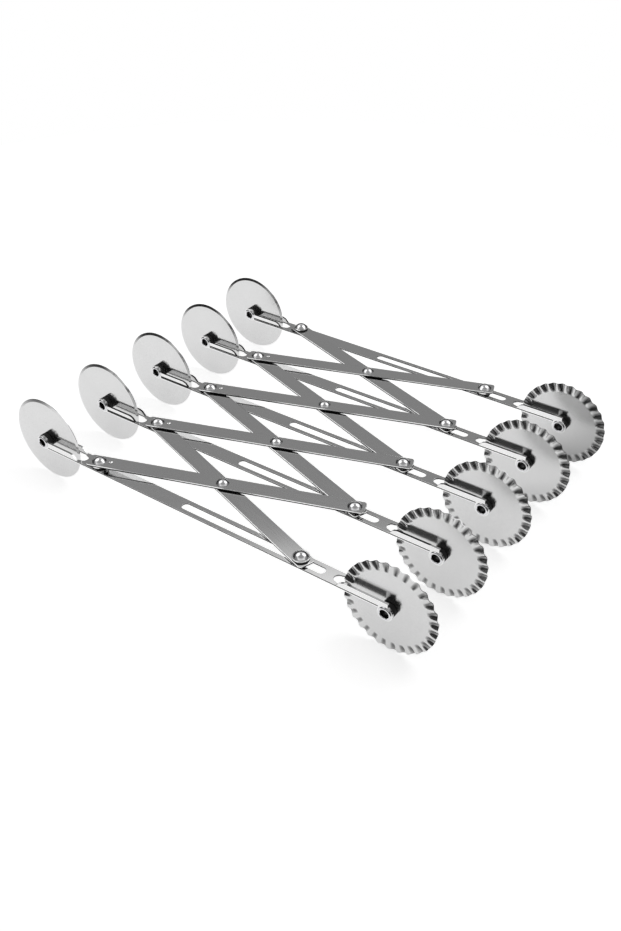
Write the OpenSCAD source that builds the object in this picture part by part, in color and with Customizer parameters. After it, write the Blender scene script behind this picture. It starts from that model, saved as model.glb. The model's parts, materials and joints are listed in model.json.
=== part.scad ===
// Expandable dough cutter: five wheel bars held at equal spacing by a
// pantograph of flat links. Each bar carries a plain cutting wheel at its
// left end and a fluted wheel at its right end. The tool stands on its wheels.
// Sizes are in millimetres. +X runs along the bars towards the fluted wheels,
// +Y is the way the cutter opens, +Z is up, and the origin is on the table.

/* [Pantograph] */
// Distance between the two pivot holes of a link
link_pitch = 148; // [130:1:170]
// Spacing of neighbouring wheel bars as the cutter stands
rest_pitch = 47.8; // [25:0.1:110]
// Angle between the links and the wheel bars where the cutter is widest
open_angle = 64; // [50:1:70]
// Width of a link
link_w = 9.5; // [8:0.1:12]
// Thickness of a link
link_t = 1.2; // [0.8:0.1:2]
// Length of a link past its left pivot hole
link_end_left = 6.4; // [5.5:0.1:9]
// Length of a link past its right pivot hole
link_end_right = 5.6; // [5:0.1:9]
// Corner radius of a link's ends
link_corner_r = 1.8; // [0.5:0.1:3]
// Distance from a top link's left pivot to its pressed dimple
dimple_x = 7.2; // [6.5:0.1:10]
// Width of the pressed dimple
dimple_d = 2.6; // [1.5:0.1:4]
// Depth of the pressed dimple
dimple_depth = 0.4; // [0.2:0.1:0.6]
// Height of the gap between two layers of strip
layer_gap = 0.4; // [0.2:0.1:1]

/* [Wheel bars] */
// Width of a wheel bar
bar_w = 9.6; // [8.6:0.1:12]
// Thickness of a wheel bar's strip
bar_t = 1.2; // [0.8:0.1:1.6]
// Play of the sliding pin across the slot
slot_play = 0.2; // [0.1:0.05:0.4]
// Free slot past the pin where the cutter is widest
slot_spare = 0.5; // [0.2:0.1:3]
// Free slot past the pin where the cutter would be flat shut
slot_over = 4.3; // [0.5:0.1:6]
// Strip left between the slot and the right fork
neck = 5.3; // [4:0.1:12]
// Distance from the left pivot to the root of the left fork
left_root = 10; // [8:0.1:20]
// Width of a fork at its root
fork_root_w = 5.2; // [4:0.1:6]
// Distance from a fork's root to the rim of its wheel
rim_gap = 5.7; // [5:0.1:12]
// Distance from a fork's root to where its prongs stand upright
fold_start = 5.2; // [4:0.1:9]
// Length of the fold where a prong turns upright
fold_run = 3.4; // [2:0.1:6]
// Height of an upright arm
arm_h = 4.4; // [3:0.1:6]
// Length of an arm past its axle
arm_over = 1.5; // [0.5:0.1:3]
// Radius of the eye round an axle
eye_r = 4.3; // [4:0.1:5]
// Height of a plain wheel's axle above the strip's underside
plain_rise = 3.5; // [0:0.1:4]
// Depth of a fluted wheel's axle below the strip's underside
fluted_drop = 2.1; // [0:0.1:3]

/* [Wheels] */
// Diameter of a plain wheel
plain_d = 51; // [45:0.5:58]
// Thickness of a plain wheel
plain_t = 1; // [0.8:0.1:1.5]
// Width of a plain wheel's ground bevel
bevel_w = 1.6; // [0.5:0.1:3]
// Thickness left at a plain wheel's edge
edge_t = 0.3; // [0.2:0.05:0.6]
// Diameter of a fluted wheel
fluted_d = 52.4; // [45:0.5:60]
// Thickness of a fluted wheel's web
fluted_t = 1; // [0.8:0.1:1.5]
// Number of flutes round a fluted wheel
flute_count = 28; // [20:2:36]
// Length of a flute, in from the rim
flute_len = 5.2; // [3:0.1:8]
// Sideways reach of a flute at the rim
flute_reach = 0.6; // [0.4:0.1:1.2]

/* [Axles and bushes] */
// Diameter of a wheel's hollow axle
axle_d = 6; // [5.6:0.1:6.4]
// Bore of the hollow axle's open ends
axle_bore = 4.8; // [3:0.1:5.2]
// Depth of an axle's open end
axle_bore_depth = 3.4; // [2:0.1:4]
// Diameter of an axle's rolled lip
lip_d = 7.6; // [7:0.1:8.4]
// Thickness of an axle's rolled lip
lip_t = 0.7; // [0.4:0.1:1.2]
// Outer diameter of a nylon bush
bush_d = 8.4; // [7.6:0.1:9]

/* [Rivets and washers] */
// Diameter of the left rivets' shanks
rivet_d = 4.4; // [3.6:0.1:4.8]
// Diameter of the sliding pins' shanks
pin_d = 4.8; // [4:0.1:5.2]
// Diameter of the centre rivets' shanks
centre_d = 4; // [3:0.1:4.6]
// Diameter of a domed head
head_d = 8; // [7:0.1:9]
// Height of a domed head
head_h = 2.2; // [1.4:0.1:3]
// Diameter of a centre rivet's domed head
centre_head_d = 7.2; // [6.4:0.1:8]
// Height of a centre rivet's domed head
centre_head_h = 2; // [1.2:0.1:2.6]
// Diameter of a head closed under a wheel bar
tail_d = 7.4; // [6.6:0.1:8.4]
// Height of a head closed under a wheel bar
tail_h = 1.2; // [0.8:0.1:2]
// Diameter of a centre rivet's closed head
centre_tail_d = 5.8; // [5.2:0.1:6.4]
// Height of a centre rivet's closed head
centre_tail_h = 0.8; // [0.5:0.1:1]
// Outer diameter of a thin washer
washer_d = 8.4; // [7.4:0.1:9]
// Outer diameter of the spacer ring where a link is missing
spacer_d = 9; // [8:0.1:10.4]

/* [Fits] */
// Radial clearance of a part that turns on a pin
turn_fit = 0.05; // [0.02:0.01:0.1]
// Clearance between two faces that slide on each other
face_fit = 0.02; // [0.01:0.01:0.05]
// Clearance between a bush and its wheel
wheel_fit = 0.1; // [0.05:0.01:0.3]

/* [Hidden] */
$fn = 64;
wheel_fn = 128;
bars = 5;
eps = 0.01;
overshoot = 1;

// Levels of the layers, up from the underside of the wheel bars
lower_z = bar_t + layer_gap;
top_z = lower_z + link_t + layer_gap;
stack_top = top_z + link_t;

// Pivots at rest: the left pivots stand at x = 0 and the sliding pins at x = rest_run
rest_angle = asin(rest_pitch / link_pitch);
rest_run = link_pitch * cos(rest_angle);
open_run = link_pitch * cos(open_angle);
function bar_y(i) = (i - (bars + 1) / 2) * rest_pitch;

// Stations along a wheel bar, from its left pivot
slot_w = pin_d + slot_play;
slot_start = open_run - pin_d / 2 - slot_spare;
slot_end = link_pitch + pin_d / 2 + slot_over;
right_root = slot_end + neck;
plain_r = plain_d / 2;
fluted_r = fluted_d / 2;
plain_axle_x = left_root + rim_gap + plain_r;
fluted_axle_x = right_root + rim_gap + fluted_r;
arm_inner_w = bar_w - 2 * bar_t;

// Bend of a prong as it turns upright: its lead into the fold, and where along
// the fold and how high up the arm the steep part ends
fold_lead = 1;
fold_bend_run = 0.35;
fold_bend_rise = 0.75;

// Small breaks of the edges of axles and bushes
axle_chamfer = 0.5;
lip_chamfer = 0.25;
bush_chamfer = 0.4;

// The two wheels differ in size and in axle height, so the bars lean a little
span = plain_axle_x + fluted_axle_x;
climb = -fluted_drop - plain_rise;
lean = asin((fluted_r - plain_r) / norm([span, climb])) - atan2(climb, span);
lift = plain_r + plain_axle_x * sin(lean) - plain_rise * cos(lean);
low_x = -plain_axle_x * cos(lean) - plain_rise * sin(lean) - plain_r;
high_x = fluted_axle_x * cos(lean) + fluted_drop * sin(lean) + fluted_r;

// Fluted rim: steps to a flute, its inner edge buried in the web, the web's own
// edge short of the first wave, and the run over which most of the wave rises
flute_steps = 6;
flute_bury = 1.5;
flute_land = 0.3;
flute_thinning = 0.08;
flute_run_in = 0.32;
flute_early_rise = 0.8;
flute_root_r = fluted_r - flute_len;
flute_skin = fluted_t / 2 - flute_thinning;
flute_edge = 0.3;
// Each station's radius, share of the full wave and half thickness
flute_stations = [[flute_root_r - flute_bury, 0, flute_skin],
                  [flute_root_r, 0, flute_skin],
                  [flute_root_r + flute_run_in * flute_len, flute_early_rise, flute_skin],
                  [fluted_r, 1, flute_edge]];

// Puts a piece drawn on the lattice onto the table
module stand() {
    translate([-(low_x + high_x) / 2, 0, lift]) rotate([0, -lean, 0]) children();
}

module at_left(i) {
    translate([0, bar_y(i), 0]) children();
}

module at_right(i) {
    translate([rest_run, bar_y(i), 0]) children();
}

module at_centre(i) {
    translate([rest_run / 2, (bar_y(i) + bar_y(i + 1)) / 2, 0]) children();
}

// Spherical cap of width d and height h, flat side on z = 0
module cap(d, h) {
    ball_r = (d * d / 4 + h * h) / (2 * h);
    intersection() {
        translate([0, 0, h - ball_r]) sphere(r = ball_r);
        cylinder(d = d + overshoot, h = h + overshoot);
    }
}

// Ring from height low to height high
module ring(outer_d, inner_d, low, high) {
    translate([0, 0, low]) difference() {
        cylinder(d = outer_d, h = high - low);
        translate([0, 0, -eps]) cylinder(d = inner_d, h = high - low + 2 * eps);
    }
}

// Rivet through the strips from height low to height high
module rivet(shank_d, low, high, top_d, top_h, foot_d, foot_h) {
    translate([0, 0, low - face_fit - eps]) cylinder(d = shank_d, h = high - low + 2 * (face_fit + eps));
    translate([0, 0, high + face_fit]) cap(top_d, top_h);
    translate([0, 0, low - face_fit]) mirror([0, 0, 1]) cap(foot_d, foot_h);
}

// Flat rounded outline of a link, its left pivot on the origin
module link_outline() {
    whole = link_end_left + link_pitch + link_end_right;
    translate([-link_end_left, -link_w / 2]) {
        translate([link_corner_r, 0]) square([whole - 2 * link_corner_r, link_w]);
        translate([0, link_corner_r]) square([whole, link_w - 2 * link_corner_r]);
        for (x = [link_corner_r, whole - link_corner_r], y = [link_corner_r, link_w - link_corner_r])
            translate([x, y]) circle(r = link_corner_r);
    }
}

module link_strip() {
    linear_extrude(link_t) difference() {
        link_outline();
        circle(d = rivet_d + 2 * turn_fit);
        translate([link_pitch / 2, 0]) circle(d = centre_d + 2 * turn_fit);
        translate([link_pitch, 0]) circle(d = pin_d + 2 * turn_fit);
    }
}

// Top link i runs from left pivot i to sliding pin i + 1
module top_link(i) {
    dimple_r = (dimple_d * dimple_d / 4 + dimple_depth * dimple_depth) / (2 * dimple_depth);
    color("silver") at_left(i) rotate(rest_angle) translate([0, 0, top_z]) difference() {
        link_strip();
        translate([dimple_x, 0, link_t - dimple_depth + dimple_r]) sphere(r = dimple_r);
    }
}

// Lower link i runs from left pivot i + 1 to sliding pin i
module lower_link(i) {
    color("silver") at_left(i + 1) rotate(-rest_angle) translate([0, 0, lower_z]) link_strip();
}

// Gap of a fork, seen from above, with its root on x = 0 and its wheel towards +x
module fork_gap(reach) {
    root_r = fork_root_w / 2;
    inner = arm_inner_w / 2;
    translate([root_r, 0]) circle(r = root_r);
    polygon([[root_r, -root_r], [fold_start, -inner], [reach, -inner],
             [reach, inner], [fold_start, inner], [root_r, root_r]]);
}

// Side view of one upright arm, with the fork's root on x = 0
module arm_outline(axle_x, axle_z) {
    bend_x = fold_start + fold_run * fold_bend_run;
    bend_z = bar_t + (arm_h - bar_t) * fold_bend_rise;
    polygon([[0, 0], [axle_x + arm_over, 0], [axle_x + arm_over, arm_h],
             [fold_start + fold_run, arm_h], [bend_x, bend_z],
             [fold_start - fold_lead, bar_t], [0, bar_t]]);
    translate([axle_x, axle_z]) circle(r = eye_r);
}

// The two arms of a fork with the holes for their axle
module fork_arms(wheel_r, axle_z) {
    axle_x = rim_gap + wheel_r;
    for (y = [-bar_w / 2 + bar_t, bar_w / 2])
        translate([0, y, 0]) rotate([90, 0, 0]) linear_extrude(bar_t) difference() {
            arm_outline(axle_x, axle_z);
            translate([axle_x, axle_z]) circle(d = axle_d + 2 * turn_fit);
        }
}

module wheel_bar(i) {
    left_flat = left_root + fold_start;
    right_flat = right_root + fold_start;
    color("lightgrey") at_left(i) {
        linear_extrude(bar_t) difference() {
            translate([-left_flat, -bar_w / 2]) square([left_flat + right_flat, bar_w]);
            circle(d = rivet_d + 2 * turn_fit);
            translate([slot_start + slot_w / 2, -slot_w / 2])
                square([slot_end - slot_start - slot_w, slot_w]);
            for (x = [slot_start + slot_w / 2, slot_end - slot_w / 2])
                translate([x, 0]) circle(d = slot_w);
            translate([right_root, 0]) fork_gap(fold_start + overshoot);
            translate([-left_root, 0]) mirror([1, 0]) fork_gap(fold_start + overshoot);
        }
        translate([right_root, 0, 0]) fork_arms(fluted_r, -fluted_drop);
        translate([-left_root, 0, 0]) mirror([1, 0, 0]) fork_arms(plain_r, plain_rise);
    }
}

// Places a piece drawn round the z axis onto the plain or the fluted wheel's axle
module on_plain_axle(i) {
    at_left(i) translate([-plain_axle_x, 0, plain_rise]) rotate([90, 0, 0]) children();
}

module on_fluted_axle(i) {
    at_left(i) translate([fluted_axle_x, 0, -fluted_drop]) rotate([90, 0, 0]) children();
}

module plain_wheel(i) {
    bore_r = axle_d / 2 + turn_fit;
    color("gainsboro") on_plain_axle(i) rotate_extrude($fn = wheel_fn)
        polygon([[bore_r, -plain_t / 2], [plain_r - bevel_w, -plain_t / 2],
                 [plain_r, -edge_t / 2], [plain_r, edge_t / 2],
                 [plain_r - bevel_w, plain_t / 2], [bore_r, plain_t / 2]]);
}

// Corrugated rim swept round the wheel, its inner edge buried in the web
module fluted_rim() {
    around = flute_count * flute_steps;
    rows = len(flute_stations);
    loop = 2 * rows;
    function station(j) = j < rows ? flute_stations[j] : flute_stations[loop - 1 - j];
    function height(j, a) = flute_reach * station(j)[1] * cos(flute_count * a)
                            + (j < rows ? 1 : -1) * station(j)[2];
    points = [for (k = [0:around - 1], j = [0:loop - 1])
                 let (a = k * 360 / around, r = station(j)[0]) [r * cos(a), r * sin(a), height(j, a)]];
    faces = [for (k = [0:around - 1], j = [0:loop - 1], half = [0, 1])
                let (a = k * loop, b = ((k + 1) % around) * loop, n = (j + 1) % loop)
                half == 0 ? [a + j, b + j, b + n] : [a + j, b + n, a + n]];
    polyhedron(points = points, faces = faces);
}

module fluted_wheel(i) {
    color("gainsboro") on_fluted_axle(i) difference() {
        union() {
            translate([0, 0, -fluted_t / 2])
                cylinder(r = flute_root_r - flute_land, h = fluted_t, $fn = wheel_fn);
            fluted_rim();
        }
        translate([0, 0, -fluted_t]) cylinder(r = axle_d / 2 + turn_fit, h = 2 * fluted_t);
    }
}

// Hollow axle with a rolled lip against the outside of each arm
module hollow_axle() {
    half = bar_w / 2 + lip_t;
    bore_r = axle_bore / 2;
    lip_r = lip_d / 2;
    rotate_extrude()
        polygon([[0, -half + axle_bore_depth], [bore_r, -half + axle_bore_depth],
                 [bore_r, -half + axle_chamfer], [bore_r + lip_chamfer, -half],
                 [lip_r - lip_chamfer, -half], [lip_r, -half + lip_chamfer], [lip_r, -bar_w / 2],
                 [axle_d / 2, -bar_w / 2], [axle_d / 2, bar_w / 2],
                 [lip_r, bar_w / 2], [lip_r, half - lip_chamfer], [lip_r - lip_chamfer, half],
                 [bore_r + lip_chamfer, half], [bore_r, half - axle_chamfer],
                 [bore_r, half - axle_bore_depth], [0, half - axle_bore_depth]]);
}

module wheel_axles(i) {
    color("darkgrey") {
        on_plain_axle(i) hollow_axle();
        on_fluted_axle(i) hollow_axle();
    }
}

// Pair of nylon bushes that keep a wheel in the middle of its fork
module bush_pair(wheel_t) {
    near = wheel_t / 2 + wheel_fit;
    far = arm_inner_w / 2;
    for (side = [0, 1])
        mirror([0, 0, side]) rotate_extrude()
            polygon([[axle_d / 2 + turn_fit, near], [bush_d / 2 - bush_chamfer, near],
                     [bush_d / 2, near + bush_chamfer], [bush_d / 2, far], [axle_d / 2 + turn_fit, far]]);
}

module hub_bushes(i) {
    color("black") {
        on_plain_axle(i) bush_pair(plain_t);
        on_fluted_axle(i) bush_pair(fluted_t);
    }
}

module left_rivet(i) {
    color("silver") at_left(i) rivet(rivet_d, 0, stack_top, head_d, head_h, tail_d, tail_h);
}

module slide_pin(i) {
    color("silver") at_right(i) rivet(pin_d, 0, stack_top, head_d, head_h, tail_d, tail_h);
}

module centre_rivet(i) {
    color("silver") at_centre(i) {
        rivet(centre_d, lower_z, stack_top, centre_head_d, centre_head_h, centre_tail_d, centre_tail_h);
        ring(centre_head_d, centre_d + 2 * turn_fit, lower_z + link_t + face_fit, top_z - face_fit);
    }
}

// Rings round a pivot that fill the levels where no link lies
module pivot_rings(shank_d, has_lower, has_top) {
    inner_d = shank_d + 2 * turn_fit;
    ring(has_lower ? washer_d : spacer_d, inner_d,
         bar_t + face_fit, (has_lower ? lower_z : top_z) - face_fit);
    if (has_lower)
        ring(has_top ? washer_d : spacer_d, inner_d,
             lower_z + link_t + face_fit, (has_top ? top_z : stack_top) - face_fit);
}

module left_washers(i) {
    color("darkgrey") at_left(i) pivot_rings(rivet_d, i > 1, i < bars);
}

module slide_washers(i) {
    color("darkgrey") at_right(i) pivot_rings(pin_d, i < bars, i > 1);
}

stand() wheel_bar(1);  // wheel_bar_1
stand() wheel_bar(2);  // wheel_bar_2
stand() wheel_bar(3);  // wheel_bar_3
stand() wheel_bar(4);  // wheel_bar_4
stand() wheel_bar(5);  // wheel_bar_5
stand() top_link(1);  // top_link_1
stand() top_link(2);  // top_link_2
stand() top_link(3);  // top_link_3
stand() top_link(4);  // top_link_4
stand() lower_link(1);  // lower_link_1
stand() lower_link(2);  // lower_link_2
stand() lower_link(3);  // lower_link_3
stand() lower_link(4);  // lower_link_4
stand() plain_wheel(1);  // plain_wheel_1
stand() plain_wheel(2);  // plain_wheel_2
stand() plain_wheel(3);  // plain_wheel_3
stand() plain_wheel(4);  // plain_wheel_4
stand() plain_wheel(5);  // plain_wheel_5
stand() fluted_wheel(1);  // fluted_wheel_1
stand() fluted_wheel(2);  // fluted_wheel_2
stand() fluted_wheel(3);  // fluted_wheel_3
stand() fluted_wheel(4);  // fluted_wheel_4
stand() fluted_wheel(5);  // fluted_wheel_5
stand() wheel_axles(1);  // wheel_axles_1
stand() wheel_axles(2);  // wheel_axles_2
stand() wheel_axles(3);  // wheel_axles_3
stand() wheel_axles(4);  // wheel_axles_4
stand() wheel_axles(5);  // wheel_axles_5
stand() hub_bushes(1);  // hub_bushes_1
stand() hub_bushes(2);  // hub_bushes_2
stand() hub_bushes(3);  // hub_bushes_3
stand() hub_bushes(4);  // hub_bushes_4
stand() hub_bushes(5);  // hub_bushes_5
stand() left_rivet(1);  // left_rivet_1
stand() left_rivet(2);  // left_rivet_2
stand() left_rivet(3);  // left_rivet_3
stand() left_rivet(4);  // left_rivet_4
stand() left_rivet(5);  // left_rivet_5
stand() left_washers(1);  // left_washers_1
stand() left_washers(2);  // left_washers_2
stand() left_washers(3);  // left_washers_3
stand() left_washers(4);  // left_washers_4
stand() left_washers(5);  // left_washers_5
stand() slide_pin(1);  // slide_pin_1
stand() slide_pin(2);  // slide_pin_2
stand() slide_pin(3);  // slide_pin_3
stand() slide_pin(4);  // slide_pin_4
stand() slide_pin(5);  // slide_pin_5
stand() slide_washers(1);  // slide_washers_1
stand() slide_washers(2);  // slide_washers_2
stand() slide_washers(3);  // slide_washers_3
stand() slide_washers(4);  // slide_washers_4
stand() slide_washers(5);  // slide_washers_5
stand() centre_rivet(1);  // centre_rivet_1
stand() centre_rivet(2);  // centre_rivet_2
stand() centre_rivet(3);  // centre_rivet_3
stand() centre_rivet(4);  // centre_rivet_4
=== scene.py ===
"""Looks of the expandable dough cutter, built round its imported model.

Five wheel bars hang on a pantograph of flat links. Each sub-assembly below is a
class that keeps its sizes in millimetres, builds its meshes on the pivots of the
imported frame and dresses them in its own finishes.
"""

import json
import logging
import math
from collections.abc import Iterable, Sequence
from dataclasses import dataclass
from enum import Enum, IntEnum
from typing import TypeAlias

import bmesh
import bpy
from mathutils import Matrix, Vector


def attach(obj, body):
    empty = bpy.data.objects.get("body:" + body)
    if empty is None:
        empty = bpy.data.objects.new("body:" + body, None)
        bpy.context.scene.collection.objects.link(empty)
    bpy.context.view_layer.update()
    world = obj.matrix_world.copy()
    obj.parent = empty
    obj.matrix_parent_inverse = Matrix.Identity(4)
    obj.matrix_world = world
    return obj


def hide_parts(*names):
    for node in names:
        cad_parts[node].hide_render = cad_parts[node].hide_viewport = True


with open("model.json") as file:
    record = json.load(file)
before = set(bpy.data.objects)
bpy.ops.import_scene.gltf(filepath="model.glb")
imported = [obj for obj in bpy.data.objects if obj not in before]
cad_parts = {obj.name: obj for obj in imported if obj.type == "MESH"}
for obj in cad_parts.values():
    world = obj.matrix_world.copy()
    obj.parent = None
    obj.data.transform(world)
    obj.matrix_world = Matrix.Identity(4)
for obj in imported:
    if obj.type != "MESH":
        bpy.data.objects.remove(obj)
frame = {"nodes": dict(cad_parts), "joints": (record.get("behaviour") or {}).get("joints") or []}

LOG = logging.getLogger("dough_cutter")
MM = 0.001
INF = math.inf
# Distances in millimetres under which points are one, and angles in degrees
WELD = 0.0005
CAD_WELD = 0.002
PLANE_GAP = 0.0001
CAD_FLAT = 0.6
SHADE_LIMIT = 30.0
# From this share upwards a normal points straight along z
LEVEL = 0.9999
X_AXIS = Vector((1.0, 0.0, 0.0))
Z_AXIS = Vector((0.0, 0.0, 1.0))

Mesh: TypeAlias = bmesh.types.BMesh
Edge: TypeAlias = bmesh.types.BMEdge
Face: TypeAlias = bmesh.types.BMFace
Socket: TypeAlias = bpy.types.NodeSocket
Value: TypeAlias = "Signal | float"
Span: TypeAlias = tuple[float, float]
Points: TypeAlias = Sequence[tuple[float, float]]


class Side(Enum):
    """The two ends of a wheel bar, by the wheel that they carry."""

    PLAIN = "plain"
    FLUTED = "fluted"


class Layer(Enum):
    """The two layers of links above the wheel bars."""

    TOP = "top"
    LOWER = "lower"


class Coat(IntEnum):
    """Places of the finishes in a piece's list."""

    MAIN = 0
    # Darker finishes: rough torn edges and painted shade
    DARK = 1
    SIDE = 2
    INSIDE = 3


# ---- Shaders ----


class Signal:
    """A shader value, on which Python operators stand for Math nodes."""

    def __init__(self, board: "Board", socket: Socket) -> None:
        """Wrap one output socket.

        Args:
            board: The node tree that the socket belongs to.
            socket: The output socket.
        """
        self.board = board
        self.socket = socket

    def __add__(self, other: Value) -> "Signal":
        """Sum of two values."""
        return self.board.maths("ADD", self, other)

    def __radd__(self, other: Value) -> "Signal":
        """Sum with the number first."""
        return self.board.maths("ADD", other, self)

    def __sub__(self, other: Value) -> "Signal":
        """Difference of two values."""
        return self.board.maths("SUBTRACT", self, other)

    def __rsub__(self, other: Value) -> "Signal":
        """Difference with the number first."""
        return self.board.maths("SUBTRACT", other, self)

    def __mul__(self, other: Value) -> "Signal":
        """Product of two values."""
        return self.board.maths("MULTIPLY", self, other)

    def __rmul__(self, other: Value) -> "Signal":
        """Product with the number first."""
        return self.board.maths("MULTIPLY", other, self)

    def clamped(self) -> "Signal":
        """This value held between 0 and 1.

        Returns:
            The held value.
        """
        result = self.board.maths("ADD", self, 0.0)
        result.socket.node.use_clamp = True
        return result


class Board:
    """A node tree that is written by a few plain calls."""

    def __init__(self, owner: bpy.types.Material | bpy.types.World) -> None:
        """Give a material or world an empty node tree.

        Args:
            owner: The material or world.
        """
        owner.use_nodes = True
        self.tree = owner.node_tree
        self.tree.nodes.clear()

    def node(
        self,
        kind: str,
        settings: dict[str, object] | None = None,
        inputs: dict[str | int, object] | None = None,
    ) -> bpy.types.Node:
        """Make one node.

        Args:
            kind: The node's type name, without its ShaderNode prefix.
            settings: Properties that are set first.
            inputs: Values or links for the node's sockets, by name or number.

        Returns:
            The new node.
        """
        made = self.tree.nodes.new("ShaderNode" + kind)
        for name, value in (settings or {}).items():
            setattr(made, name, value)
        for name, value in (inputs or {}).items():
            value = value.socket if isinstance(value, Signal) else value
            if isinstance(value, Socket):
                self.tree.links.new(value, made.inputs[name])
            else:
                made.inputs[name].default_value = value
        return made

    def maths(self, operation: str, first: Value, second: Value) -> Signal:
        """One Math node on two values.

        Args:
            operation: The Math node's operation.
            first: The upper value.
            second: The lower value.

        Returns:
            The node's result.
        """
        made = self.node("Math", {"operation": operation}, {0: first, 1: second})
        return Signal(self, made.outputs[0])

    def mixed(self, share: Signal, first: object, second: object) -> Socket:
        """Mix of two colours.

        Args:
            share: Where between the two, from 0 to 1.
            first: Colour where the share is 0.
            second: Colour where the share is 1.

        Returns:
            The mixed colour.
        """
        made = self.node("Mix", {"data_type": "RGBA"}, {"Factor": share, 6: first, 7: second})
        return made.outputs[2]

    def noise(self, place: Socket, scale: float, detail: float = 2.0) -> Signal:
        """Soft noise between 0 and 1.

        Args:
            place: The vector socket to read.
            scale: Ripples to a metre.
            detail: Octaves of finer noise.

        Returns:
            The noise's value.
        """
        made = self.node("TexNoise", {}, {"Vector": place, "Scale": scale, "Detail": detail})
        return Signal(self, made.outputs["Fac"])


def grey(level: float) -> tuple[float, float, float, float]:
    """Grey of a linear level, as a colour with full alpha."""
    return (level, level, level, 1.0)


@dataclass(frozen=True)
class Finish:
    """A surface finish, as a procedural material.

    Tone and roughness swing between shares of their own value, and the relief is
    the depth of the bump in metres.
    """

    name: str
    roughness: float
    tone: float
    tone_span: Span = (0.9, 1.05)
    rough_base: float = 0.7
    rough_swing: float = 0.6
    relief: float = 0.000004
    relief_share: float = 0.4
    metallic: float = 1.0
    specular: float = 0.5

    def material(self) -> bpy.types.Material:
        """The finish's material, made at its first use.

        Returns:
            The material.
        """
        found = bpy.data.materials.get(self.name)
        if found:
            return found
        made = bpy.data.materials.new(self.name)
        board = Board(made)
        colour, wear, height = self.paint(board)
        rough = self.roughness * self.rough_base + self.roughness * self.rough_swing * wear
        relief = {"Height": height, "Distance": self.relief, "Strength": self.relief_share}
        shader = board.node(
            "BsdfPrincipled", {},
            {
                "Base Color": colour, "Roughness": rough.clamped(), "Metallic": self.metallic,
                "Specular IOR Level": self.specular,
                "Normal": board.node("Bump", {}, relief).outputs["Normal"],
            },
        )
        board.node("OutputMaterial", {}, {"Surface": shader.outputs[0]})
        return made

    def paint(self, board: Board) -> tuple[Socket, Signal, Signal]:
        """Pattern of the surface; each kind of finish has its own.

        Args:
            board: The material's nodes.

        Returns:
            The colour, where it is rough, and its relief, both from 0 to 1.
        """
        raise NotImplementedError

    def tint(self, board: Board, share: Signal) -> Socket:
        """Grey between the two ends of the tone's span.

        Args:
            board: The material's nodes.
            share: Where between the two, from 0 to 1.

        Returns:
            The mixed colour.
        """
        low, high = (self.tone * part for part in self.tone_span)
        return board.mixed(share, grey(low), grey(min(high, 1.0)))


@dataclass(frozen=True)
class PolishedStrip(Finish):
    """Polished strip with a faint grain along its length and shallow waviness."""

    tone_span: Span = (0.93, 1.05)
    relief: float = 0.00006
    relief_share: float = 0.5
    turn: float = 0.0
    grain_scale: tuple[float, float, float] = (60.0, 2600.0, 900.0)
    grain_relief: float = 0.06
    speckle: float = 1500.0
    waviness: float = 42.0
    shares: Span = (0.55, 0.45)

    def paint(self, board: Board) -> tuple[Socket, Signal, Signal]:
        """Grain along the strip, with speckles and a shallow wave.

        Args:
            board: The material's nodes.

        Returns:
            The colour, where it is rough, and its relief.
        """
        place = board.node("TexCoord").outputs["Object"]
        turn = {"Vector": place, "Rotation": (0.0, 0.0, self.turn)}
        turned = board.node("Mapping", {"vector_type": "TEXTURE"}, turn).outputs[0]
        stretch = {"Vector": turned, "Scale": self.grain_scale}
        grain = board.noise(board.node("Mapping", {}, stretch).outputs[0], 1.0, detail=3.0)
        speck = board.noise(place, self.speckle, detail=1.0)
        wave = board.noise(place, self.waviness, detail=1.0)
        shade = (self.shares[0] * grain + self.shares[1] * speck).clamped()
        return self.tint(board, shade), grain, self.grain_relief * grain + wave


@dataclass(frozen=True)
class TurnedDisc(Finish):
    """Disc polished on a spindle, with fine rings round its axle.

    A mesh attribute may paint shade into the valleys of a fluted rim.
    """

    tone_span: Span = (0.86, 1.12)
    rough_base: float = 0.75
    rough_swing: float = 0.5
    relief: float = 0.0000025
    relief_share: float = 1.0
    centre: tuple[float, float, float] = (0.0, 0.0, 0.0)
    rings: float = 2300.0
    cloud: float = 60.0
    speckle: float = 1100.0
    shares: tuple[float, float, float] = (0.2, 0.4, 0.4)
    valley_shade: float = 0.0
    valley_shade_tone: float = 0.03
    valley_shade_layer: str = "painted_valley_shade"

    def paint(self, board: Board) -> tuple[Socket, Signal, Signal]:
        """Rings by the distance from the axle, with clouds and speckles.

        Args:
            board: The material's nodes.

        Returns:
            The colour, where it is rough, and its relief.
        """
        place = board.node("TexCoord").outputs["Object"]
        local = board.node("VectorMath", {"operation": "SUBTRACT"}, {0: place, 1: self.centre})
        across = {0: local.outputs[0], 1: (1.0, 0.0, 1.0)}
        flat = board.node("VectorMath", {"operation": "MULTIPLY"}, across).outputs[0]
        radius = board.node("VectorMath", {"operation": "LENGTH"}, {0: flat}).outputs["Value"]
        spread = board.node("CombineXYZ", {}, {"X": radius})
        ring = board.noise(spread.outputs[0], self.rings)
        cloud = board.noise(flat, self.cloud, detail=3.0)
        speck = board.noise(place, self.speckle, detail=1.0)
        ringed, clouded, speckled = self.shares
        shade = (ringed * ring + clouded * cloud + speckled * speck).clamped()
        colour = self.tint(board, shade)
        # Painted shade: the flutes' valleys blend towards near black, as the mesh attribute says
        if self.valley_shade:
            painted_valley_shade = board.node("Attribute", {"attribute_name": self.valley_shade_layer})
            depth = (Signal(board, painted_valley_shade.outputs["Fac"]) * self.valley_shade).clamped()
            colour = board.mixed(depth, colour, grey(self.valley_shade_tone))
        return colour, cloud, ring


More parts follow.
